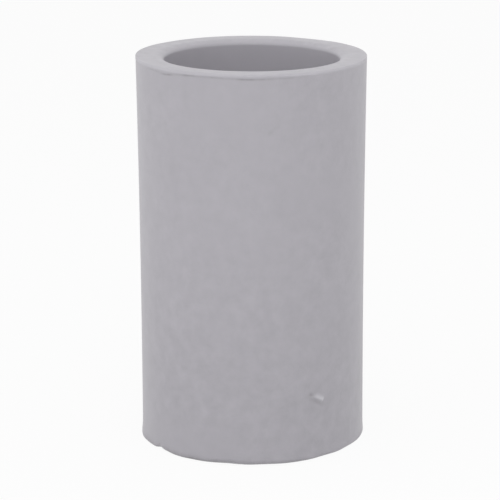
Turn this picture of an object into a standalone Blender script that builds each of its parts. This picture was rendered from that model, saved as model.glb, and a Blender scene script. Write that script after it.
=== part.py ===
"""Slip coupling that joins two lengths of half-inch rigid plastic conduit.

The coupling is one moulded sleeve, open at both ends. Each end is a socket
that narrows slightly towards the middle, where a ring stops the conduit.
The outside is drawn in a little at mid-length, both end edges are rounded,
and a torn gate mark stands on the side, near the lower end.

Lengths are in metres. The coupling stands on its lower end: the origin is at
the centre of the lower end face, and +Z runs up along the bore. Azimuths are
measured from -Y, the front, towards +X.
"""

import math

import bmesh
import bpy
from mathutils import Euler, Matrix, Vector

PART_NAME = "conduit_coupling"
BODY_NAME = "coupling_body"

# Sockets, from the conduit that they take
CONDUIT_DIAMETER = 0.02134
MOUTH_CLEARANCE = 0.00050
SEAT_CLEARANCE = 0.00010
SOCKET_DEPTH = 0.02305

# Centre stop ring, lower than the conduit's wall is thick
STOP_WIDTH = 0.00250
STOP_HEIGHT = 0.00180

# Outside
MOUTH_WALL = 0.00330
WAIST_DEPTH = 0.00018

# Rounded edges
UPPER_EDGE_ROUNDING = 0.00033
LOWER_EDGE_ROUNDING = 0.00050
MOUTH_ROUNDING = 0.00100
SEAT_FILLET = 0.00030
STOP_ROUNDING = 0.00030

# Gate mark, a low torn ridge that runs down to the right
GATE_LENGTH = 0.00140
GATE_WIDTH = 0.00045
GATE_HEIGHT = 0.00022
GATE_RISE = 0.00780
GATE_AZIMUTH = math.radians(34.4)
GATE_SLOPE = math.radians(30.0)

# Sizes that follow from those above
MOUTH_RADIUS = (CONDUIT_DIAMETER + MOUTH_CLEARANCE) / 2
SEAT_RADIUS = (CONDUIT_DIAMETER + SEAT_CLEARANCE) / 2
STOP_RADIUS = SEAT_RADIUS - STOP_HEIGHT
END_RADIUS = MOUTH_RADIUS + MOUTH_WALL
SLEEVE_LENGTH = 2 * SOCKET_DEPTH + STOP_WIDTH

# Fineness of the turned surface
TURN_STEPS = 80
SIDE_STEPS = 8
ARC_STEPS = 4
MERGE_DISTANCE = 0.000001

# Finish
PLASTIC_GREY = (0.42, 0.41, 0.44, 1.0)
PLASTIC_ROUGHNESS = 0.5


def clear_scene():
    """Remove what the scene holds at the start."""
    for thing in list(bpy.data.objects):
        bpy.data.objects.remove(thing, do_unlink=True)


def new_collection(name):
    """Add a collection under the scene's own."""
    collection = bpy.data.collections.new(name)
    bpy.context.scene.collection.children.link(collection)
    return collection


def new_object(name, shape, collection):
    """Turn a bmesh into an object of the collection."""
    mesh = bpy.data.meshes.new(name)
    shape.to_mesh(mesh)
    shape.free()
    thing = bpy.data.objects.new(name, mesh)
    collection.objects.link(thing)
    return thing


def plastic_material():
    """Matte grey plastic."""
    material = bpy.data.materials.new("grey_pvc")
    material.use_nodes = True
    shader = material.node_tree.nodes["Principled BSDF"]
    shader.inputs["Base Color"].default_value = PLASTIC_GREY
    shader.inputs["Roughness"].default_value = PLASTIC_ROUGHNESS
    shader.inputs["Metallic"].default_value = 0.0
    material.diffuse_color = PLASTIC_GREY
    return material


def arc(centre, radius, start, end):
    """Points of an arc in the profile's plane, from one angle to the other, in degrees from +X."""
    angles = [math.radians(start + (end - start) * step / ARC_STEPS) for step in range(ARC_STEPS + 1)]
    return [(centre[0] + radius * math.cos(a), centre[1] + radius * math.sin(a)) for a in angles]


def side_radius(height):
    """Radius of the outside: a shallow parabola with its waist at mid-length."""
    share = height / SLEEVE_LENGTH
    return END_RADIUS - 4 * WAIST_DEPTH * share * (1 - share)


def side_points():
    """Points down the outside, between the two rounded edges."""
    highest = SLEEVE_LENGTH - UPPER_EDGE_ROUNDING
    fall = highest - LOWER_EDGE_ROUNDING
    heights = [highest - fall * step / SIDE_STEPS for step in range(1, SIDE_STEPS)]
    return [(side_radius(height), height) for height in heights]


def upper_edge(rounding):
    """The upper end's outer rounding, from the end face to the side."""
    height = SLEEVE_LENGTH - rounding
    return arc((side_radius(height) - rounding, height), rounding, 90, 0)


def upper_mouth():
    """The upper mouth's rounding, from the socket's wall to the end face."""
    centre = (MOUTH_RADIUS + MOUTH_ROUNDING, SLEEVE_LENGTH - MOUTH_ROUNDING)
    return arc(centre, MOUTH_ROUNDING, 180, 90)


def upper_seat():
    """The stop ring's upper corner and the fillet where its shoulder meets the socket's wall."""
    shoulder = SLEEVE_LENGTH - SOCKET_DEPTH
    corner = arc((STOP_RADIUS + STOP_ROUNDING, shoulder - STOP_ROUNDING), STOP_ROUNDING, 180, 90)
    fillet = arc((SEAT_RADIUS - SEAT_FILLET, shoulder + SEAT_FILLET), SEAT_FILLET, 270, 360)
    return corner + fillet


def mirrored(points):
    """The same points on the other side of mid-length, in the opposite order."""
    return [(radius, SLEEVE_LENGTH - height) for radius, height in reversed(points)]


def sleeve_profile():
    """The closed outline of the wall: down the outside, then up through the sockets and the stop."""
    outside = upper_edge(UPPER_EDGE_ROUNDING) + side_points() + mirrored(upper_edge(LOWER_EDGE_ROUNDING))
    inside = upper_seat() + upper_mouth()
    return outside + mirrored(inside) + inside


def turned_sleeve(collection):
    """Turn the wall's outline once round the Z axis."""
    shape = bmesh.new()
    corners = [shape.verts.new((radius, 0.0, height)) for radius, height in sleeve_profile()]
    for first, second in zip(corners, corners[1:] + corners[:1]):
        shape.edges.new((first, second))
    sleeve = new_object(BODY_NAME, shape, collection)
    turn = sleeve.modifiers.new("turn", "SCREW")
    turn.axis = "Z"
    turn.angle = math.tau
    turn.steps = TURN_STEPS
    turn.render_steps = TURN_STEPS
    turn.use_merge_vertices = True
    turn.merge_threshold = MERGE_DISTANCE
    turn.use_smooth_shade = True
    return sleeve


def gate_ridge(collection):
    """A long drop on the side, half sunk in the wall, as the gate left it when it tore off."""
    outward = Vector((math.sin(GATE_AZIMUTH), -math.cos(GATE_AZIMUTH), 0.0))
    place = Matrix.Translation(outward * side_radius(GATE_RISE) + Vector((0.0, 0.0, GATE_RISE)))
    turn = Euler((0.0, GATE_SLOPE, GATE_AZIMUTH)).to_matrix().to_4x4()
    size = Matrix.Diagonal((GATE_LENGTH / 2, GATE_HEIGHT, GATE_WIDTH / 2, 1.0))
    shape = bmesh.new()
    bmesh.ops.create_uvsphere(shape, u_segments=12, v_segments=8, radius=1.0, matrix=place @ turn @ size)
    ridge = new_object("gate_ridge", shape, collection)
    ridge.hide_render = True
    ridge.display_type = "WIRE"
    return ridge


def joined(body, addition):
    """Fuse an addition to the body."""
    union = body.modifiers.new(addition.name, "BOOLEAN")
    union.operation = "UNION"
    union.solver = "EXACT"
    union.object = addition


def build():
    """Make the coupling."""
    clear_scene()
    parts = new_collection(PART_NAME)
    cutters = new_collection("cutters")
    sleeve = turned_sleeve(parts)
    joined(sleeve, gate_ridge(cutters))
    sleeve.data.materials.append(plastic_material())


build()
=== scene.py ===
"""Grey plastic conduit coupling, standing on its end in a plain pale studio.

The coupling's skin is one closed surface: the outline of its wall, carried
once round the Z axis. Lengths are in metres, +Z is up, and azimuths are
measured from -Y, where the camera stands, towards +X.
"""

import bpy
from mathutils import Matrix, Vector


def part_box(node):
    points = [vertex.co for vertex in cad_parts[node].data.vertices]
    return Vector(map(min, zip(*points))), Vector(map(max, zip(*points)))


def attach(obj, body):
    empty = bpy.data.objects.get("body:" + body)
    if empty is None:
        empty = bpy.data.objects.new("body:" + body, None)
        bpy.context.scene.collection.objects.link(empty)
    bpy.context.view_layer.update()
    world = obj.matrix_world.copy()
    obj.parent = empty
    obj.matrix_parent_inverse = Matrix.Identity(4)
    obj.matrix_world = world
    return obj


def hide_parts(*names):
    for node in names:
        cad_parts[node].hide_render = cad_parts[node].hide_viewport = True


bl_info = {
    "name": "Conduit Coupling",
    "version": (1, 0, 0),
    "blender": (4, 5, 0),
    "location": "View3D > Sidebar > Coupling",
    "description": "Makes a moulded plastic conduit coupling and a plain studio for it",
    "category": "Add Mesh",
}

import math

import bpy
import numpy as np
from bpy.props import FloatProperty, FloatVectorProperty, IntProperty, PointerProperty
from mathutils import Euler, Vector

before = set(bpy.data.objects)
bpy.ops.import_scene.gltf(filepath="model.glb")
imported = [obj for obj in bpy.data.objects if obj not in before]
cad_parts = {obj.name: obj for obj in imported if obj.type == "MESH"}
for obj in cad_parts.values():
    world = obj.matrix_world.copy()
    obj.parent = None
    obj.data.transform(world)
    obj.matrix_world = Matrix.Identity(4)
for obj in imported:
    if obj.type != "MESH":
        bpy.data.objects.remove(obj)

BODY_NODE = "coupling_body"
SLEEVE_NAME = "coupling_sleeve"
# Mesh masks: paler for torn plastic and painted highlight, darker for painted shade and shadow and for
# the scratch's dirt.
TORN_AND_HIGHLIGHT_ATTRIBUTE = "torn"
SHADE_AND_DIRT_ATTRIBUTE = "dirt"

# The solid's box, which the skin stays inside. TILT_ROOM is left for the upper end's tilt, which
# raises its left side, and SIDE_ROOM for the lip and the flash, which stand out of the side.
BOX_LOW, BOX_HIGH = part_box(BODY_NODE)
BOX_LENGTH = BOX_HIGH.z - BOX_LOW.z
BOX_RADIUS = BOX_HIGH.x
TILT_ROOM = 0.000104
SIDE_ROOM = 0.000019

# The side's rows follow the edges within LOWER_ZONE and UPPER_ZONE of the ends. Level rows are fine
# for ZONE_REACH fine steps from a zone, and all points are for SCRATCH_REACH from the scratch. The end
# face's even rows stop FLAT_MARGIN inside the side. The rows on the bevel and on the flat are closer
# than the side's by their two densities. DENSE_POINTS are summed where points are graded.
LOWER_ZONE = 0.0012
UPPER_ZONE = 0.0008
ZONE_REACH = 4
FLAT_MARGIN = 0.00063
BEVEL_DENSITY = 4
FLAT_DENSITY = 2
SCRATCH_REACH = 0.0005
DENSE_POINTS = 8001

# Bells round the coupling. Each row is an azimuth and a reach, both in degrees, and a height. Wear is
# in shares of an edge's rounding, the scuff (partly a painted highlight) and the painted shadow and
# shade are levels, LIP_SHIFT is in metres, and FLASH is in shares of how far the flash stands out.
LOWER_WEAR = ((-57, 3, 1.0), (-44, 4.5, -0.45), (-38, 4, -0.35), (-13, 9, 1.1), (4, 8, 0.6),
              (10, 7, 0.28), (23, 7, 0.15), (39, 6, 0.3), (50, 6, -0.3))
UPPER_WEAR = ((-118, 9, -0.5), (-31, 7, 0.2), (0, 16, -0.2), (29, 8, 0.2), (128, 8, -0.5),
              (151, 9, 0.6))
# Paler scuff on the lip, partly a painted highlight on the upper edge.
LIP_SCUFF_AND_HIGHLIGHT = ((-88, 32, 0.7), (-45, 6, 0.3), (29, 9, 0.4), (88, 32, 0.4))
# A painted shadow in a line under the lip.
LIP_SHADOW = ((-55, 4, 0.4), (-44, 4, 1.0), (-31, 7, 0.75), (-16, 6, 0.45), (0, 9, 0.95), (16, 5, 0.25))
# Painted shade along the lower edge, where it turns under towards the floor.
LOWER_EDGE_SHADE = ((-66, 9, 0.40), (-50, 6, 0.35), (-35, 11, 0.85), (-20, 8, 0.48), (0, 12, 0.20),
              (21, 8, 0.38), (48, 14, 0.16))
LIP_SHIFT = ((-46, 6, 0.00022), (-24, 12, -0.00006), (0, 9, 0.00007))
FLASH = ((-90, 22, 0.8), (-75, 10, 2.9), (84, 12, 1.0))

# Stretches round the coupling. Each is a start and an end azimuth, and how widely it fades in and out,
# all in degrees. The four at the sides are where the parting line's flash fills an edge, and
# LIP_STRETCH is where the lip stands out. At UPPER_BACK the rounding is smaller, by a share of it.
UPPER_LEFT = (-114, -74, 20, 16)
UPPER_RIGHT = (74, 122, 16, 20)
LOWER_LEFT = (-100, -58, 20, 4)
LOWER_RIGHT = (62, 100, 20, 20)
LIP_STRETCH = (-110, 36, 30, 14)
UPPER_BACK = (150, 210, 20, 20)
BACK_SHARPENING = 0.25

# The gate's ridge: the stretch that it fills, in shares of its length, its height at the middle and
# how that grows over its length, both as shares of the gate's height, and how much steeper its lower
# flank is.
RIDGE_STRETCH = (-0.50, 0.44, 0.50, 0.26)
RIDGE_LEVEL = 0.80
RIDGE_GROWTH = 0.4
LOWER_FLANK = 1.5

# Bells on the side: the middle and the reach of each, along and across its mark. The scratch is two
# of them, the second one fainter.
HOLLOW = ((0.00006, -0.00058), (0.00112, 0.00028))
PIT = ((-0.00134, -0.00006), (0.00028, 0.00024))
SCRATCH_HEAD = ((0, 0), (0.00036, 0.00026))
SCRATCH_TAIL = ((0.00075, 0.00012), (0.00040, 0.00024))
TAIL_SHARE = 0.5

# How much darker each of them and the line under the lip are painted, from 0 to 1: painted shade in the
# hollow and the pit, dirt in the scratch, and a painted shadow in the line under the lip.
HOLLOW_SHADE = 0.28
PIT_SHADE = 0.38
SCRATCH_DIRT = 0.15
LINE_SHADOW = 0.60

# The painted shade at both ends is speckled: a level, a swing, and the number of waves of its two parts.
SPECKLE_LEVEL = 0.8
SPECKLE_SWING = 0.35
SPECKLE_WAVES = (61, 137)

# The upper end: how soon the lip's foot fades in, how far under it the line of painted shadow lies and
# how far that reaches, and the least level of the scuff and its painted highlight, where it starts
# below the end and how soon it fades in.
LIP_FADE = 0.00010
LINE_DROP = 0.00006
LINE_REACH = 0.00011
SCUFF_AND_HIGHLIGHT_LEVEL = 0.4
SCUFF_AND_HIGHLIGHT_DROP = 0.00034
SCUFF_AND_HIGHLIGHT_FADE = 0.00026

# The lower end: how far up its painted shade and its flash reach.
SHADE_REACH = 0.00048
FLASH_REACH = 0.0007

# The finishes, by material slot. Contrasts are shares of the colour, low_gain is how much stronger
# the blotches get towards the lower end, depths are in metres, and stretch draws out the grain.
SIDE, END, BORE = range(3)
LOOKS = {
    "pvc_side": {"pebble_contrast": 0.15, "cloud_contrast": 0.06, "low_gain": 0.4,
                 "pebble_depth": 0.00003, "grain_depth": 0.000004, "stretch": 1.0},
    "pvc_end_face": {"pebble_contrast": 0.26, "cloud_contrast": 0.05, "low_gain": 0.0,
                     "pebble_depth": 0.00002, "grain_depth": 0.000003, "stretch": 1.0},
    "pvc_bore": {"pebble_contrast": 0.04, "cloud_contrast": 0.05, "low_gain": 0.0,
                 "pebble_depth": 0.00001, "grain_depth": 0.000003, "stretch": 12.0},
}

# All three share the index of refraction, how strong the noise's finer blotches are against its
# broader ones, and how faint the blotches get in a patch.
PLASTIC_IOR = 1.53
NOISE_ROUGHNESS = 0.55
FAINTEST_PATCH = 0.2

# Places of the lamps, which all shine towards the coupling's middle, and how wide each kind is.
FAR_LAMPS = {"left": (-0.5, 0.0, 0.16), "right": (0.48, 0.14, 0.16)}
ROUND_LAMPS = {"front_left": (-0.2, -0.2, 0.2), "front_right": (0.2, -0.2, 0.2),
               "front": (0.0, -0.25, 0.25), "top": (0.0, 0.0, 0.25)}
FAR_SPREAD = math.radians(50)
ROUND_WIDTH = 0.2

# The camera's sensor, in millimetres, and how near and how far it sees.
SENSOR_WIDTH = 36.0
CLIP_NEAR = 0.01
CLIP_FAR = 20.0


class CouplingSleeve(bpy.types.PropertyGroup):
    """Sizes of the moulded sleeve."""

    length: FloatProperty(
        name="Length", description="From one end face to the other, on the axis",
        default=BOX_LENGTH - TILT_ROOM, unit="LENGTH")
    end_diameter: FloatProperty(
        name="End diameter", description="Outside, at the upper end, just below its lip",
        default=2 * (BOX_RADIUS - SIDE_ROOM), unit="LENGTH")
    waist_depth: FloatProperty(
        name="Waist", description="How far the side is drawn in at mid-length",
        default=0.00012, unit="LENGTH")
    taper: FloatProperty(
        name="Taper", description="How much smaller the lower end's radius is than the upper one's",
        default=0.00006, unit="LENGTH")
    upper_tilt: FloatProperty(
        name="Upper tilt", description="How far the upper end is out of square, higher at the left",
        default=math.radians(0.29), subtype="ANGLE")
    mouth_diameter: FloatProperty(
        name="Mouth", description="Diameter of a socket at its mouth, inside the bevel",
        default=0.02154, unit="LENGTH")
    bore_offset: FloatProperty(
        name="Bore offset", description="How far the bore sits to the right of the outside",
        default=0.00007, unit="LENGTH")
    seat_diameter: FloatProperty(
        name="Seat", description="Diameter of a socket at its inner end",
        default=0.02144, unit="LENGTH")
    stop_width: FloatProperty(
        name="Stop width", description="Length of the centre stop ring along the bore",
        default=0.00250, unit="LENGTH")
    stop_height: FloatProperty(
        name="Stop height", description="How far the stop ring stands in from the seat",
        default=0.00180, unit="LENGTH")
    upper_rounding: FloatProperty(
        name="Upper rounding", description="Radius of the upper end's outer edge",
        default=0.00033, unit="LENGTH")
    lower_rounding: FloatProperty(
        name="Lower rounding", description="Radius of the lower end's outer edge",
        default=0.00045, unit="LENGTH")
    bevel_width: FloatProperty(
        name="Bevel width", description="Width of the shallow bevel round each mouth",
        default=0.00075, unit="LENGTH")
    bevel_depth: FloatProperty(
        name="Bevel depth", description="How far the bevel falls towards the bore",
        default=0.00044, unit="LENGTH")
    bevel_rounding: FloatProperty(
        name="Bevel rounding", description="Radius where the end face turns down into the bevel",
        default=0.00190, unit="LENGTH")
    mouth_rounding: FloatProperty(
        name="Mouth rounding", description="Radius of the edge between the bevel and the bore",
        default=0.00052, unit="LENGTH")
    inner_rounding: FloatProperty(
        name="Inner rounding", description="Radius of the stop ring's corners and of its fillets",
        default=0.00030, unit="LENGTH")
    column_step: FloatProperty(
        name="Column step", description="Spacing of the points round the coupling, away from the marks",
        default=0.00040, unit="LENGTH")
    row_step: FloatProperty(
        name="Row step", description="Spacing of the points along the coupling, away from the marks",
        default=0.00120, unit="LENGTH")
    fine_step: FloatProperty(
        name="Fine step", description="Spacing of the points at the marks",
        default=0.00005, unit="LENGTH")
    arc_points: IntProperty(
        name="Arc points", description="Points across each rounded edge",
        default=9, min=3)


class CouplingMarks(bpy.types.PropertyGroup):
    """What moulding and wear have left on the side and on the edges."""

    gate_azimuth: FloatProperty(
        name="Gate azimuth", description="Where the gate mark is round the side",
        default=math.radians(35.3), subtype="ANGLE")
    gate_rise: FloatProperty(
        name="Gate rise", description="Height of the gate mark above the lower end",
        default=0.00788, unit="LENGTH")
    gate_slope: FloatProperty(
        name="Gate slope", description="How steeply the gate mark runs down to the right",
        default=math.radians(30.0), subtype="ANGLE")
    gate_length: FloatProperty(
        name="Gate length", description="Length of the torn ridge",
        default=0.00155, unit="LENGTH")
    gate_width: FloatProperty(
        name="Gate width", description="Width of the torn ridge",
        default=0.00070, unit="LENGTH")
    gate_height: FloatProperty(
        name="Gate height", description="How far the torn ridge stands out of the side",
        default=0.00018, unit="LENGTH")
    pit_depth: FloatProperty(
        name="Pit depth", description="Depth of the pit and of the hollow beside the torn ridge",
        default=0.00008, unit="LENGTH")
    scratch_azimuth: FloatProperty(
        name="Scratch azimuth", description="Where the faint scratch is round the side",
        default=math.radians(9.0), subtype="ANGLE")
    scratch_rise: FloatProperty(
        name="Scratch rise", description="Height of the scratch above the lower end",
        default=0.04163, unit="LENGTH")
    scratch_slope: FloatProperty(
        name="Scratch slope", description="How steeply the scratch runs up to the right",
        default=math.radians(30.0), subtype="ANGLE")
    flash_fill: FloatProperty(
        name="Flash fill", description="How much of the lower edge's rounding the flash fills",
        default=0.93, min=0.0, max=0.95, subtype="FACTOR")
    flash_stand: FloatProperty(
        name="Flash stand", description="How far the flash at both sides of the lower end stands out",
        default=0.00006, unit="LENGTH")
    upper_fill: FloatProperty(
        name="Upper fill", description="How much sharper the upper edge is at both sides",
        default=0.80, min=0.0, max=0.95, subtype="FACTOR")
    edge_wear: FloatProperty(
        name="Edge wear", description="How much rounder the lower edge is where it is worn most",
        default=1.0, min=0.0, max=1.5, subtype="FACTOR")
    lip_stand: FloatProperty(
        name="Lip stand", description="How far the upper edge's lip stands out, at the front and left",
        default=0.00002, unit="LENGTH")
    lip_drop: FloatProperty(
        name="Lip drop", description="From the upper end down to the lip's foot",
        default=0.00044, unit="LENGTH")
    # The lip's scuff is partly a painted highlight.
    lip_scuff_and_highlight: FloatProperty(
        name="Lip scuff and highlight", description="How far the scuffed lip takes on the torn colour",
        default=0.30, min=0.0, max=1.0, subtype="FACTOR")


class CouplingPlastic(bpy.types.PropertyGroup):
    """Colours and finish of the plastic."""

    colour: FloatVectorProperty(
        name="Colour", description="Body colour of the plastic",
        default=(0.42, 0.406, 0.44), size=3, min=0.0, max=1.0, subtype="COLOR")
    # Paler colour of torn or scuffed plastic, also used for the painted highlight on the gate's ridge
    # and the lip.
    torn_and_highlight_colour: FloatVectorProperty(
        name="Torn and highlight colour", description="Colour of the plastic where it is torn or scuffed",
        default=(0.56, 0.55, 0.585), size=3, min=0.0, max=1.0, subtype="COLOR")
    # Dark colour for painted shade in the hollow and the pit, the painted shadow under the lip and
    # painted shade on the lower edge, and for the scratch's dirt.
    shade_and_dirt_colour: FloatVectorProperty(
        name="Shade and dirt colour", description="Colour of the dirt held by the pit, the scratch and the edges",
        default=(0.20, 0.19, 0.20), size=3, min=0.0, max=1.0, subtype="COLOR")
    roughness: FloatProperty(
        name="Roughness", description="Roughness of the plastic, before the grain changes it",
        default=0.40, min=0.0, max=1.0, subtype="FACTOR")
    pebble_size: FloatProperty(
        name="Pebble size", description="Size of the mottle's broadest blotches",
        default=0.00150, unit="LENGTH")
    pattern_shift: FloatVectorProperty(
        name="Pattern shift", description="How far the mottle's pattern is moved",
        default=(-0.1373, 0.1251, -0.0356), size=3, subtype="TRANSLATION", unit="LENGTH")
    patch_size: FloatProperty(
        name="Patch size", description="Size of the patches in which the blotches are strong or faint",
        default=0.00900, unit="LENGTH")
    patchiness: FloatProperty(
        name="Patchiness", description="How much the blotches' strength differs from patch to patch",
        default=2.5, min=0.0)
    # Painted shade: how much darker the lower part of the side is painted.
    bottom_shade: FloatProperty(
        name="Dulling", description="How much darker the worn lower part of the side is",
        default=0.045, min=0.0, max=1.0, subtype="FACTOR")
    # These two heights set both where the blotches grow stronger and where the painted shade darkens the
    # side.
    blotch_and_shade_from: FloatProperty(
        name="Blotch and shade from", description="Height from which the blotches grow stronger, downwards",
        default=0.0340, unit="LENGTH")
    blotch_and_shade_to: FloatProperty(
        name="Blotch and shade to", description="Height at which the blotches are strongest",
        default=0.0060, unit="LENGTH")
    cloud_size: FloatProperty(
        name="Cloud size", description="Size of the broad, faint clouds in the colour",
        default=0.00700, unit="LENGTH")
    grain_size: FloatProperty(
        name="Grain size", description="Size of the fine matte grain",
        default=0.00012, unit="LENGTH")
    roughness_variation: FloatProperty(
        name="Roughness variation", description="How much the roughness changes from grain to grain",
        default=0.12, min=0.0, max=1.0, subtype="FACTOR")


class CouplingStudio(bpy.types.PropertyGroup):
    """Camera, floor and light."""

    camera_distance: FloatProperty(
        name="Camera distance", description="From the camera to the coupling's axis, on the level",
        default=0.24501, unit="LENGTH")
    camera_height: FloatProperty(
        name="Camera height", description="Height of the camera above the floor",
        default=0.09075, unit="LENGTH")
    camera_pitch: FloatProperty(
        name="Camera pitch", description="How far the camera looks down",
        default=math.radians(15.333), subtype="ANGLE")
    camera_yaw: FloatProperty(
        name="Camera yaw", description="How far the camera is turned to the right",
        default=math.radians(-0.059), subtype="ANGLE")
    camera_roll: FloatProperty(
        name="Camera roll", description="How far the camera is tilted to the left",
        default=math.radians(-0.241), subtype="ANGLE")
    focal_length: FloatProperty(
        name="Focal length", description="Of the lens, in millimetres, on a sensor 36 mm wide",
        default=145.19, unit="CAMERA")
    floor_width: FloatProperty(
        name="Floor width", description="Length of each side of the floor",
        default=6.0, unit="LENGTH")
    floor_colour: FloatVectorProperty(
        name="Floor colour", description="What the floor reflects",
        default=(0.80, 0.80, 0.80), size=3, min=0.0, max=1.0, subtype="COLOR")
    backdrop_white: FloatProperty(
        name="Backdrop white", description="Level of the white that the camera sees",
        default=1.0)
    shadow_share: FloatProperty(
        name="Shadow share", description="How much of the floor's own shading the camera sees",
        default=0.08, min=0.0, max=1.0, subtype="FACTOR")
    sky_strength: FloatProperty(
        name="Sky", description="Strength of the even light from all round",
        default=0.642)
    left_strength: FloatProperty(
        name="Left lamp", description="Strength of the wide, low lamp far away at the left",
        default=0.425)
    right_strength: FloatProperty(
        name="Right lamp", description="Strength of the wide, low lamp far away at the right",
        default=0.186)
    front_left_power: FloatProperty(
        name="Front left lamp", description="Power of the round lamp at the front left",
        default=0.108, unit="POWER")
    front_right_power: FloatProperty(
        name="Front right lamp", description="Power of the round lamp at the front right",
        default=0.094, unit="POWER")
    front_power: FloatProperty(
        name="Front lamp", description="Power of the round lamp above the camera",
        default=0.174, unit="POWER")
    top_power: FloatProperty(
        name="Top lamp", description="Power of the round lamp overhead",
        default=0.043, unit="POWER")


def graded(low, high, coarse, fine, peaks):
    """Places from low to high, with a density of 1/coarse that rises to 1/fine at the peaks.

    Each peak is a bell, with a centre and a reach. The density is summed along
    the way, and the places stand at even steps of that sum.
    """
    dense = np.linspace(low, high, DENSE_POINTS)
    rise = sum(np.exp(-((dense - centre) / reach) ** 2) for centre, reach in peaks)
    density = 1 / coarse + (1 / fine - 1 / coarse) * rise
    count = np.concatenate([[0.0], np.cumsum((density[1:] + density[:-1]) / 2 * np.diff(dense))])
    steps = int(math.ceil(count[-1]))
    return np.interp(np.linspace(0, count[-1], steps + 1), count, dense)


def step(value, middle, fade):
    """0 below a middle and 1 above it, by a smooth step as wide as the fade."""
    rise = np.clip((value - middle) / fade + 0.5, 0, 1)
    return rise * rise * (3 - 2 * rise)


def window(value, start, end, fade_in, fade_out):
    """1 between a start and an end and 0 outside, by a smooth step at each."""
    return step(value, start, fade_in) * step(-value, -end, fade_out)


def bells(turn, table):
    """Sum of bells round the coupling, each with its azimuth, its reach and its height."""
    return sum(amount * np.exp(-((turn - place) / reach) ** 2) for place, reach, amount in table)


def bell(along, across, middle, reach):
    """1 at a place on the side, falling off all round it by a bell with two reaches."""
    return np.exp(-((along - middle[0]) / reach[0]) ** 2 - ((across - middle[1]) / reach[1]) ** 2)


def arc(out, up, rounding, start, end, points):
    """An arc of the wall's section round (out, up), between two angles in degrees.

    The angles run from outwards to upwards. A point of the arc is (out + rounding
    times the angle's cosine, up + rounding times its sine).
    """
    angle = np.radians(np.linspace(start, end, points))[:, None]
    return out + rounding * np.cos(angle), up + rounding * np.sin(angle)


def line(start, end, spacing):
    """Even points of the wall's section between two points, which are left out themselves."""
    steps = max(2, int(math.ceil(math.dist(start, end) / spacing)))
    share = np.linspace(0, 1, steps + 1)[1:-1, None]
    return start[0] + (end[0] - start[0]) * share, start[1] + (end[1] - start[1]) * share


def place_on(section, row):
    """How far out and how far up one row of an even section lies."""
    return [float(part[row, 0]) for part in section]


def side_radius(size, height):
    """Radius of the side: a straight taper less a shallow parabola, whose waist is at mid-length."""
    share = height / size.length
    return size.end_diameter / 2 - size.taper * (1 - share) - 4 * size.waist_depth * share * (1 - share)


def placed(size, azimuth, height, mark_azimuth, mark_rise, slope):
    """Distances along and across a mark, from its middle.

    Along runs to the right, and down by the slope. Across runs up from it.
    """
    east = size.end_diameter / 2 * (azimuth - mark_azimuth)
    north = height - mark_rise
    along = east * math.cos(slope) - north * math.sin(slope)
    across = east * math.sin(slope) + north * math.cos(slope)
    return along, across


def side_marks(size, marks, azimuth, height):
    """Relief over the side, and how pale and how dark the plastic is painted there, from 0 to 1.

    The gate's ridge is a bell across the mark, steeper on its lower flank, and
    grows along it towards its lower end. It is paler: torn plastic, and a painted
    highlight on its upper flank. A hollow runs along under it, and a pit lies at
    its upper end, both painted darker: painted shade. The scratch is dirt alone.
    The upper edge's lip is scuffed, partly a painted highlight, a painted shadow
    lies in a line under it, and painted shade lies along the lower edge.
    """
    along, across = placed(size, azimuth, height, marks.gate_azimuth, marks.gate_rise, marks.gate_slope)
    share = along / marks.gate_length
    crest = window(share, *RIDGE_STRETCH) * (RIDGE_LEVEL + RIDGE_GROWTH * share)
    flank = 2 * np.where(across < 0, LOWER_FLANK * across, across) / marks.gate_width
    ridge = crest * np.exp(-flank ** 2)
    # The hollow and the pit are also painted darker by the second mask: painted shade.
    hollow = bell(along, across, *HOLLOW)
    pit = bell(along, across, *PIT)
    spot = placed(size, azimuth, height, marks.scratch_azimuth, marks.scratch_rise, -marks.scratch_slope)
    scratch = bell(*spot, *SCRATCH_HEAD) + TAIL_SHARE * bell(*spot, *SCRATCH_TAIL)
    turn = np.degrees(azimuth)
    coarse, fine = (np.sin(waves * azimuth) for waves in SPECKLE_WAVES)
    speckle = SPECKLE_LEVEL + SPECKLE_SWING * coarse * fine
    # The line of painted shadow under the lip, speckled.
    line_height = size.length - (marks.lip_drop + LINE_DROP + bells(turn, LIP_SHIFT))
    shadow_line = bells(turn, LIP_SHADOW) * np.exp(-((line_height - height) / LINE_REACH) ** 2)
    # The lip's scuff, partly a painted highlight along the upper edge.
    scuff = (SCUFF_AND_HIGHLIGHT_LEVEL + bells(turn, LIP_SCUFF_AND_HIGHLIGHT)) * step(height, size.length - SCUFF_AND_HIGHLIGHT_DROP, SCUFF_AND_HIGHLIGHT_FADE)
    # Painted shade along the lower edge, speckled.
    foot = bells(turn, LOWER_EDGE_SHADE) * np.exp(-(height / SHADE_REACH) ** 2)
    relief = marks.gate_height * ridge - marks.pit_depth * (hollow + pit)
    # Painted shade in the hollow and the pit, and dirt in the scratch.
    held = HOLLOW_SHADE * hollow + PIT_SHADE * pit + SCRATCH_DIRT * scratch
    # The paler mask is torn plastic and painted highlight; the darker one is painted shade and shadow,
    # and the scratch's dirt.
    return relief, ridge + marks.lip_scuff_and_highlight * scuff, held + speckle * (LINE_SHADOW * shadow_line + foot)


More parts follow.
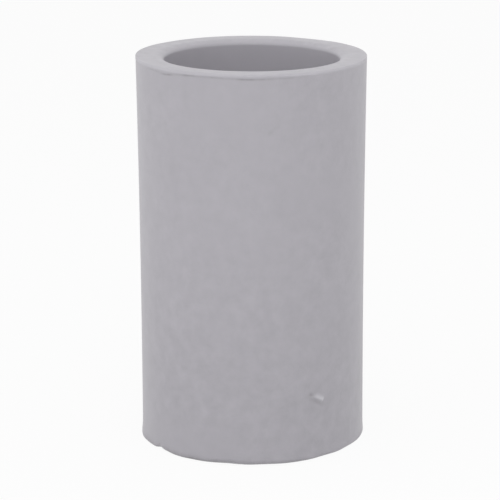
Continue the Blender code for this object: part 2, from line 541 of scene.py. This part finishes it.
def edge_roundings(size, marks, azimuth):
    """Radius of the upper and of the lower outer edge at each azimuth.

    Both are even, except where the edge is worn rounder or less so, where the
    flash of the parting line fills it, at both sides of each end, and at the
    back of the upper end.
    """
    turn = np.degrees(azimuth)
    upper_sides = window(turn, *UPPER_LEFT) + window(turn, *UPPER_RIGHT)
    lower_sides = window(turn, *LOWER_LEFT) + window(turn, *LOWER_RIGHT)
    back = BACK_SHARPENING * window(turn, *UPPER_BACK)
    upper = (1 + bells(turn, UPPER_WEAR)) * (1 - marks.upper_fill * upper_sides) - back
    lower = (1 + marks.edge_wear * bells(turn, LOWER_WEAR)) * (1 - marks.flash_fill * lower_sides)
    return size.upper_rounding * upper, size.lower_rounding * lower


def lip(size, marks, azimuth, height):
    """How far the upper edge's lip stands out: a smooth step at its foot, at the front and left only."""
    turn = np.degrees(azimuth)
    foot = step(height, size.length - marks.lip_drop - bells(turn, LIP_SHIFT), LIP_FADE)
    return marks.lip_stand * foot * window(turn, *LIP_STRETCH)


def flash(marks, azimuth, height):
    """How far the parting line's flash stands out at the lower end: bells that fade with the height."""
    return marks.flash_stand * bells(np.degrees(azimuth), FLASH) * np.exp(-(height / FLASH_REACH) ** 2)


def outside_sections(size, marks, azimuth):
    """The upper edge, the side and the lower edge, and how torn and how dirty the side is.

    Each edge is a quarter circle that touches the end face and the side. Its
    radius changes round the coupling, and its centre moves with it. Between the
    two edges the side's rows are level, but for a few that follow an edge.
    """
    upper, lower = edge_roundings(size, marks, azimuth)
    upper_side = side_radius(size, size.length - size.upper_rounding)
    upper_foot = upper_side + lip(size, marks, azimuth, size.length)
    lower_foot = side_radius(size, size.lower_rounding) + flash(marks, azimuth, 0)
    upper_edge = arc(upper_foot - upper, size.length - upper, upper, 90, 0, size.arc_points)
    lower_edge = arc(lower_foot - lower, lower, lower, 0, -90, size.arc_points)
    high, low = size.length - UPPER_ZONE, LOWER_ZONE
    peaks = [(marks.gate_rise, marks.gate_length), (marks.scratch_rise, SCRATCH_REACH),
             (high, ZONE_REACH * size.fine_step), (low, ZONE_REACH * size.fine_step)]
    level = graded(low, high, size.row_step, size.fine_step, peaks)[::-1, None]
    share = np.linspace(0, 1, size.arc_points)[1:-1, None]
    above = (size.length - upper) * (1 - share) + high * share
    below = low * (1 - share) + lower * share
    height = np.concatenate([above, np.broadcast_to(level, (len(level), len(azimuth))), below])
    all_heights = np.concatenate([upper_edge[1], height, lower_edge[1]])
    relief, *masks = side_marks(size, marks, azimuth, all_heights)
    side_relief = relief[size.arc_points:-size.arc_points]
    stand = side_relief + lip(size, marks, azimuth, height) + flash(marks, azimuth, height)
    return [upper_edge, (side_radius(size, height) + stand, height), lower_edge], masks


def socket_sections(size):
    """The upper socket, from the stop ring's corner to the mouth, and the end face beyond it.

    Round the ring's corner, along the shoulder, round the fillet, up the taper
    and round the mouth's edge. Then up the bevel, round its brow and out over
    the flat. Each edge is an arc that touches the lines on its two sides: it
    starts before their corner by its radius times the tangent of half the turn.
    """
    inner, edge, brow = size.inner_rounding, size.mouth_rounding, size.bevel_rounding
    seat, mouth = size.seat_diameter / 2, size.mouth_diameter / 2
    stop = seat - size.stop_height
    shoulder = (size.length + size.stop_width) / 2
    top = size.length
    slope = math.atan2(size.bevel_depth, size.bevel_width)
    edge_up = top - size.bevel_depth - edge * (1 - math.sin(slope)) / math.cos(slope)
    brow_out = mouth + size.bevel_width + brow * math.tan(slope / 2)
    mouth_arc = arc(mouth + edge, edge_up, edge, 180, 90 + math.degrees(slope), size.arc_points)
    brow_arc = arc(brow_out, top - brow, brow, 90 + math.degrees(slope), 90, size.arc_points)
    bore = [
        arc(stop + inner, shoulder - inner, inner, 180, 90, size.arc_points),
        line((stop + inner, shoulder), (seat - inner, shoulder), size.row_step),
        arc(seat - inner, shoulder + inner, inner, 270, 360, size.arc_points),
        line((seat, shoulder + inner), (mouth, edge_up), size.row_step),
        mouth_arc,
    ]
    face = [
        line(place_on(mouth_arc, -1), place_on(brow_arc, 0), size.row_step / BEVEL_DENSITY),
        brow_arc,
        line((brow_out, top), (side_radius(size, 0) - FLAT_MARGIN, top), size.row_step / FLAT_DENSITY),
    ]
    return bore, face


def mirrored(size, sections):
    """The same sections on the other side of mid-length, in the opposite order."""
    return [(out[::-1], size.length - up[::-1]) for out, up in reversed(sections)]


def sleeve_grid(size, marks):
    """Azimuth, radius, height and masks of every point, and the finish of every row.

    A row is one place on the section's outline. The outline runs down the
    outside, in along the lower end face, up through the sockets and the stop
    ring, and out along the upper end face.
    """
    radius = size.end_diameter / 2
    azimuth = graded(marks.gate_azimuth - math.pi, marks.gate_azimuth + math.pi,
                     size.column_step / radius, size.fine_step / radius,
                     [(marks.gate_azimuth, marks.gate_length / radius),
                      (marks.scratch_azimuth, SCRATCH_REACH / radius)])[:-1]
    outside, worn = outside_sections(size, marks, azimuth)
    bore, face = socket_sections(size)
    lower_bore, lower_face = mirrored(size, bore), mirrored(size, face)
    ring = line(place_on(lower_bore[-1], -1), place_on(bore[0], 0), size.row_step)
    sections = outside + lower_face + lower_bore + [ring] + bore + face
    finishes = ([SIDE] * len(outside) + [END] * len(face)
                + [BORE] * (2 * len(bore) + 1) + [END] * len(face))
    wide = [[np.broadcast_to(part, (len(part), len(azimuth))) for part in section]
            for section in sections]
    out, up = (np.concatenate([section[k] for section in wide]) for k in range(2))
    masks = np.zeros((2, *out.shape))
    masks[:, :len(worn[0])] = worn
    finish = np.repeat(finishes, [len(section[0]) for section in sections])
    return azimuth, out, up, masks, finish


def grid_quads(rows, columns):
    """Corner numbers of the quads of a grid that closes both ways, facing outwards."""
    row = np.arange(rows)[:, None]
    column = np.arange(columns)[None, :]
    below, beside = (row + 1) % rows, (column + 1) % columns
    numbers = (row * columns + column, below * columns + column,
               below * columns + beside, row * columns + beside)
    return np.stack(np.broadcast_arrays(*numbers), axis=-1).reshape(-1, 4)


def sleeve_mesh(size, marks):
    """Closed skin of the coupling: (radius sin azimuth, -radius cos azimuth, height) over the grid.

    The bore is then moved a little to the right, by a share that rises from 0 at
    the outer edge to 1 at the mouth. All heights are tilted in proportion, so
    that the upper end is out of square and the lower one is not.
    """
    azimuth, out, up, masks, finish = sleeve_grid(size, marks)
    mouth = size.mouth_diameter / 2
    inside = np.clip(1 - (out - mouth) / (size.end_diameter / 2 - size.lower_rounding - mouth), 0, 1)
    across = out * np.sin(azimuth)
    tilted = up * (1 - size.upper_tilt * across / size.length)
    points = np.stack([across + size.bore_offset * inside, -out * np.cos(azimuth), tilted], axis=-1)
    mesh = bpy.data.meshes.new(SLEEVE_NAME)
    mesh.from_pydata(points.reshape(-1, 3), [], grid_quads(*out.shape))
    mesh.polygons.foreach_set("material_index", np.repeat(finish, out.shape[1]).astype(np.int32))
    for name, mask in zip((TORN_AND_HIGHLIGHT_ATTRIBUTE, SHADE_AND_DIRT_ATTRIBUTE), masks):
        attribute = mesh.attributes.new(name, "FLOAT", "POINT")
        attribute.data.foreach_set("value", mask.ravel().astype(np.float32))
    mesh.shade_smooth()
    mesh.validate()
    return mesh


def node(tree, kind, inputs=None, **settings):
    """Add a node, set its properties, and link or fill its inputs."""
    made = tree.nodes.new(kind)
    for name, value in settings.items():
        setattr(made, name, value)
    for name, value in (inputs or {}).items():
        if isinstance(value, bpy.types.NodeSocket):
            tree.links.new(value, made.inputs[name])
        else:
            made.inputs[name].default_value = value
    return made


def maths(tree, operation, *values):
    """A sum, product or the like of two or three values."""
    return node(tree, "ShaderNodeMath", dict(enumerate(values)), operation=operation).outputs[0]


def new_group(name, inputs, outputs):
    """An empty shader node group with named sockets, and its two end nodes."""
    tree = bpy.data.node_groups.new(name, "ShaderNodeTree")
    for label, kind, value in inputs:
        tree.interface.new_socket(label, in_out="INPUT", socket_type=kind).default_value = value
    for label, kind in outputs:
        tree.interface.new_socket(label, in_out="OUTPUT", socket_type=kind)
    return tree, tree.nodes.new("NodeGroupInput").outputs, tree.nodes.new("NodeGroupOutput")


def noise(tree, place, size, detail):
    """Noise from -0.5 to 0.5, with blotches of one size and, by its detail, finer ones too."""
    scale = maths(tree, "DIVIDE", 1.0, size)
    cloud = node(tree, "ShaderNodeTexNoise", {"Vector": place, "Scale": scale, "Detail": detail,
                                              "Roughness": NOISE_ROUGHNESS})
    return maths(tree, "SUBTRACT", cloud.outputs["Fac"], 0.5)


def mottle_group():
    """Colour with pebbly blotches and broad clouds, and the blotches' relief.

    The blotches are strong in some patches and faint in others. They grow
    stronger down the coupling, from one height to another, and the colour is painted darker there:
    painted shade.
    """
    tree, given, result = new_group(
        "pebbly_mottle",
        [("Colour", "NodeSocketColor", (0.5, 0.5, 0.5, 1.0)),
         ("Pebble Size", "NodeSocketFloat", 0.001),
         ("Pebble Contrast", "NodeSocketFloat", 0.1),
         ("Cloud Size", "NodeSocketFloat", 0.01),
         ("Cloud Contrast", "NodeSocketFloat", 0.05),
         ("Patch Size", "NodeSocketFloat", 0.01),
         ("Patchiness", "NodeSocketFloat", 1.0),
         ("Low Gain", "NodeSocketFloat", 1.0),
         ("Dulling", "NodeSocketFloat", 0.0),
         ("High", "NodeSocketFloat", 1.0),
         ("Low", "NodeSocketFloat", 0.0),
         ("Shift", "NodeSocketVector", (0.0, 0.0, 0.0))],
        [("Colour", "NodeSocketColor"), ("Relief", "NodeSocketFloat")])
    surface = node(tree, "ShaderNodeTexCoord").outputs["Object"]
    height = node(tree, "ShaderNodeSeparateXYZ", {"Vector": surface}).outputs["Z"]
    shifted = node(tree, "ShaderNodeVectorMath", {0: surface, 1: given["Shift"]}, operation="ADD")
    place = shifted.outputs[0]
    span = {"Value": height, "From Min": given["High"], "From Max": given["Low"]}
    low = node(tree, "ShaderNodeMapRange", span, interpolation_type="SMOOTHSTEP").outputs["Result"]
    patches = noise(tree, place, given["Patch Size"], detail=1.0)
    strength = maths(tree, "MULTIPLY_ADD", patches, given["Patchiness"], 1.0)
    gain = maths(tree, "MULTIPLY", maths(tree, "MULTIPLY_ADD", low, given["Low Gain"], 1.0),
                 maths(tree, "MAXIMUM", strength, FAINTEST_PATCH))
    pebbles = maths(tree, "MULTIPLY", noise(tree, place, given["Pebble Size"], detail=3.0), gain)
    clouds = noise(tree, place, given["Cloud Size"], detail=3.0)
    change = maths(tree, "MULTIPLY_ADD", pebbles, given["Pebble Contrast"],
                   maths(tree, "MULTIPLY", clouds, given["Cloud Contrast"]))
    # The colour is painted darker towards the lower end: painted shade.
    level = maths(tree, "SUBTRACT", maths(tree, "ADD", change, 1.0),
                  maths(tree, "MULTIPLY", low, given["Dulling"]))
    colour = node(tree, "ShaderNodeVectorMath", {0: given["Colour"], "Scale": level}, operation="SCALE")
    tree.links.new(colour.outputs[0], result.inputs["Colour"])
    tree.links.new(pebbles, result.inputs["Relief"])
    return tree


def grain_group():
    """Fine matte grain, drawn out along the coupling: a relief and a change of roughness."""
    tree, given, result = new_group(
        "matte_grain",
        [("Grain Size", "NodeSocketFloat", 0.0001), ("Stretch", "NodeSocketFloat", 1.0),
         ("Roughness", "NodeSocketFloat", 0.5), ("Variation", "NodeSocketFloat", 0.1)],
        [("Roughness", "NodeSocketFloat"), ("Relief", "NodeSocketFloat")])
    place = node(tree, "ShaderNodeTexCoord").outputs["Object"]
    shorter = maths(tree, "DIVIDE", 1.0, given["Stretch"])
    squeeze = node(tree, "ShaderNodeCombineXYZ", {"X": 1.0, "Y": 1.0, "Z": shorter}).outputs[0]
    drawn = node(tree, "ShaderNodeVectorMath", {0: place, 1: squeeze}, operation="MULTIPLY").outputs[0]
    grain = noise(tree, drawn, given["Grain Size"], detail=1.0)
    change = maths(tree, "MULTIPLY", grain, given["Variation"])
    roughness = maths(tree, "ADD", given["Roughness"], change)
    tree.links.new(roughness, result.inputs["Roughness"])
    tree.links.new(grain, result.inputs["Relief"])
    return tree


def plastic_material(name, finish, groups, look):
    """Matte plastic: the mottle and the grain, with the look's strengths, under one Principled shader.

    It is painted darker towards the lower end, a painted shade, only where its blotches grow stronger.
    """
    material = bpy.data.materials.new(name)
    material.use_nodes = True
    tree = material.node_tree
    shader = tree.nodes["Principled BSDF"]
    shader.inputs["IOR"].default_value = PLASTIC_IOR
    mottle = node(tree, "ShaderNodeGroup", node_tree=groups["mottle"], inputs={
        "Colour": (*finish.colour, 1.0),
        "Pebble Size": finish.pebble_size,
        "Pebble Contrast": look["pebble_contrast"],
        "Cloud Size": finish.cloud_size,
        "Cloud Contrast": look["cloud_contrast"],
        "Patch Size": finish.patch_size,
        "Patchiness": finish.patchiness,
        "Low Gain": look["low_gain"],
        # Painted shade towards the lower end, on the side only.
        "Dulling": finish.bottom_shade if look["low_gain"] else 0.0,
        "High": finish.blotch_and_shade_from,
        "Low": finish.blotch_and_shade_to,
        "Shift": finish.pattern_shift,
    })
    grain = node(tree, "ShaderNodeGroup", node_tree=groups["grain"], inputs={
        "Grain Size": finish.grain_size,
        "Stretch": look["stretch"],
        "Roughness": finish.roughness,
        "Variation": finish.roughness_variation,
    })
    coarse = node(tree, "ShaderNodeBump", {"Height": mottle.outputs["Relief"],
                                           "Distance": look["pebble_depth"]})
    fine = node(tree, "ShaderNodeBump", {"Height": grain.outputs["Relief"],
                                         "Distance": look["grain_depth"],
                                         "Normal": coarse.outputs["Normal"]})
    tree.links.new(mottle.outputs["Colour"], shader.inputs["Base Color"])
    tree.links.new(grain.outputs["Roughness"], shader.inputs["Roughness"])
    tree.links.new(fine.outputs["Normal"], shader.inputs["Normal"])
    return material


def tint(material, attribute, colour):
    """Mix a colour into a material by a mask of the mesh."""
    tree = material.node_tree
    base = tree.nodes["Principled BSDF"].inputs["Base Color"]
    mask = node(tree, "ShaderNodeAttribute", attribute_name=attribute)
    mixed = node(tree, "ShaderNodeMix", data_type="RGBA", inputs={
        "Factor": mask.outputs["Fac"], "A": base.links[0].from_socket, "B": (*colour, 1.0)})
    tree.links.new(mixed.outputs["Result"], base)


class COUPLING_OT_sleeve(bpy.types.Operator):
    """Make the coupling's moulded sleeve and its plastic"""

    bl_idname = "coupling.sleeve"
    bl_label = "Moulded Sleeve"

    def execute(self, context):
        scene = context.scene
        finish = scene.coupling_plastic
        mesh = sleeve_mesh(scene.coupling_sleeve, scene.coupling_marks)
        groups = {"mottle": mottle_group(), "grain": grain_group()}
        for name, look in LOOKS.items():
            mesh.materials.append(plastic_material(name, finish, groups, look))
        # Paler where the plastic is torn or scuffed, partly a painted highlight on the ridge's upper
        # flank and the lip's edge.
        tint(mesh.materials[SIDE], TORN_AND_HIGHLIGHT_ATTRIBUTE, finish.torn_and_highlight_colour)
        # Darker by painted shade in the hollow and the pit, a painted shadow under the lip and painted
        # shade on the lower edge, and by dirt in the scratch.
        tint(mesh.materials[SIDE], SHADE_AND_DIRT_ATTRIBUTE, finish.shade_and_dirt_colour)
        sleeve = bpy.data.objects.new(SLEEVE_NAME, mesh)
        scene.collection.objects.link(sleeve)
        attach(sleeve, "root")
        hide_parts(BODY_NODE)
        return {"FINISHED"}


def whole_backdrop(tree, shader, studio, share):
    """Mix an even white into a shader, by a share, for the camera and reflections alone."""
    rays = node(tree, "ShaderNodeLightPath")
    indirect = maths(tree, "MAXIMUM", rays.outputs["Is Glossy Ray"], rays.outputs["Is Transmission Ray"])
    seen = maths(tree, "MAXIMUM", rays.outputs["Is Camera Ray"], indirect)
    white = node(tree, "ShaderNodeEmission", {"Strength": studio.backdrop_white})
    return node(tree, "ShaderNodeMixShader", {
        "Fac": maths(tree, "MULTIPLY", seen, share), 1: shader, 2: white.outputs[0]})


def make_floor(scene, studio):
    """A plain pale floor that keeps a faint shadow."""
    half = studio.floor_width / 2
    points = [(-half, -half, 0.0), (half, -half, 0.0), (half, half, 0.0), (-half, half, 0.0)]
    mesh = bpy.data.meshes.new("studio_floor")
    mesh.from_pydata(points, [], [(0, 1, 2, 3)])
    material = bpy.data.materials.new("studio_floor")
    material.use_nodes = True
    tree = material.node_tree
    shader = tree.nodes["Principled BSDF"]
    shader.inputs["Base Color"].default_value = (*studio.floor_colour, 1.0)
    shader.inputs["Roughness"].default_value = 1.0
    shader.inputs["Specular IOR Level"].default_value = 0.0
    mixed = whole_backdrop(tree, shader.outputs[0], studio, 1 - studio.shadow_share)
    tree.links.new(mixed.outputs[0], tree.nodes["Material Output"].inputs["Surface"])
    mesh.materials.append(material)
    floor = bpy.data.objects.new("studio_floor", mesh)
    scene.collection.objects.link(floor)


def make_sky(scene, studio):
    """Even light from all round, which the camera and reflections see as the backdrop's white."""
    world = bpy.data.worlds.new("studio_sky")
    world.use_nodes = True
    tree = world.node_tree
    sky = tree.nodes["Background"]
    sky.inputs["Color"].default_value = (1.0, 1.0, 1.0, 1.0)
    sky.inputs["Strength"].default_value = studio.sky_strength
    mixed = whole_backdrop(tree, sky.outputs[0], studio, 1.0)
    tree.links.new(mixed.outputs[0], tree.nodes["World Output"].inputs["Surface"])
    scene.world = world


def aim(scene, name, lamp, place):
    """Put a lamp in the scene, shining from a place towards the coupling's middle."""
    thing = bpy.data.objects.new(name, lamp)
    thing.location = place
    middle = Vector((0.0, 0.0, BOX_LENGTH / 2))
    thing.rotation_euler = (Vector(place) - middle).to_track_quat("Z", "Y").to_euler()
    scene.collection.objects.link(thing)


def far_lamp(scene, name, strength, place):
    """A lamp so far away that its light is even, and wide enough for soft shadows."""
    lamp = bpy.data.lights.new(name, "SUN")
    lamp.energy = strength
    lamp.angle = FAR_SPREAD
    aim(scene, name, lamp, place)


def round_lamp(scene, name, power, place):
    """A round lamp near the coupling."""
    lamp = bpy.data.lights.new(name, "AREA")
    lamp.shape = "DISK"
    lamp.size = ROUND_WIDTH
    lamp.energy = power
    aim(scene, name, lamp, place)


def make_camera(scene, studio):
    """The camera in front of the coupling, looking down on it."""
    lens = bpy.data.cameras.new("studio_camera")
    lens.sensor_width = SENSOR_WIDTH
    lens.lens = studio.focal_length
    lens.clip_start = CLIP_NEAR
    lens.clip_end = CLIP_FAR
    camera = bpy.data.objects.new("studio_camera", lens)
    camera.location = (0.0, -studio.camera_distance, studio.camera_height)
    level = Euler((math.pi / 2 - studio.camera_pitch, 0.0, -studio.camera_yaw)).to_quaternion()
    roll = Euler((0.0, 0.0, studio.camera_roll)).to_quaternion()
    camera.rotation_euler = (level @ roll).to_euler()
    scene.collection.objects.link(camera)
    scene.camera = camera


class COUPLING_OT_studio(bpy.types.Operator):
    """Make the floor, the light and the camera"""

    bl_idname = "coupling.studio"
    bl_label = "Plain Studio"

    def execute(self, context):
        scene = context.scene
        studio = scene.coupling_studio
        make_floor(scene, studio)
        make_sky(scene, studio)
        for name, place in FAR_LAMPS.items():
            far_lamp(scene, name + "_lamp", getattr(studio, name + "_strength"), place)
        for name, place in ROUND_LAMPS.items():
            round_lamp(scene, name + "_lamp", getattr(studio, name + "_power"), place)
        make_camera(scene, studio)
        scene.view_settings.view_transform = "Standard"
        return {"FINISHED"}


class COUPLING_PT_sidebar(bpy.types.Panel):
    """Sidebar of the coupling's tools"""

    bl_label = "Conduit Coupling"
    bl_idname = "COUPLING_PT_sidebar"
    bl_space_type = "VIEW_3D"
    bl_region_type = "UI"
    bl_category = "Coupling"

    def draw(self, context):
        scene = context.scene
        listed = {
            COUPLING_OT_sleeve: (scene.coupling_sleeve, scene.coupling_marks, scene.coupling_plastic),
            COUPLING_OT_studio: (scene.coupling_studio,),
        }
        for operator, groups in listed.items():
            box = self.layout.box()
            box.operator(operator.bl_idname)
            for group in groups:
                for name in type(group).__annotations__:
                    box.prop(group, name)


GROUPS = {
    "coupling_sleeve": CouplingSleeve,
    "coupling_marks": CouplingMarks,
    "coupling_plastic": CouplingPlastic,
    "coupling_studio": CouplingStudio,
}
CLASSES = (*GROUPS.values(), COUPLING_OT_sleeve, COUPLING_OT_studio, COUPLING_PT_sidebar)


def register():
    """Add the property groups, the operators and the panel to Blender."""
    for made in CLASSES:
        bpy.utils.register_class(made)
    for name, group in GROUPS.items():
        setattr(bpy.types.Scene, name, PointerProperty(type=group))


def unregister():
    """Take them out again, in the opposite order."""
    for name in GROUPS:
        delattr(bpy.types.Scene, name)
    for made in reversed(CLASSES):
        bpy.utils.unregister_class(made)


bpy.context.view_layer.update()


def main():
    """Make the coupling and its studio."""
    register()
    bpy.ops.coupling.sleeve()
    bpy.ops.coupling.studio()


if __name__ == "__main__":
    main()
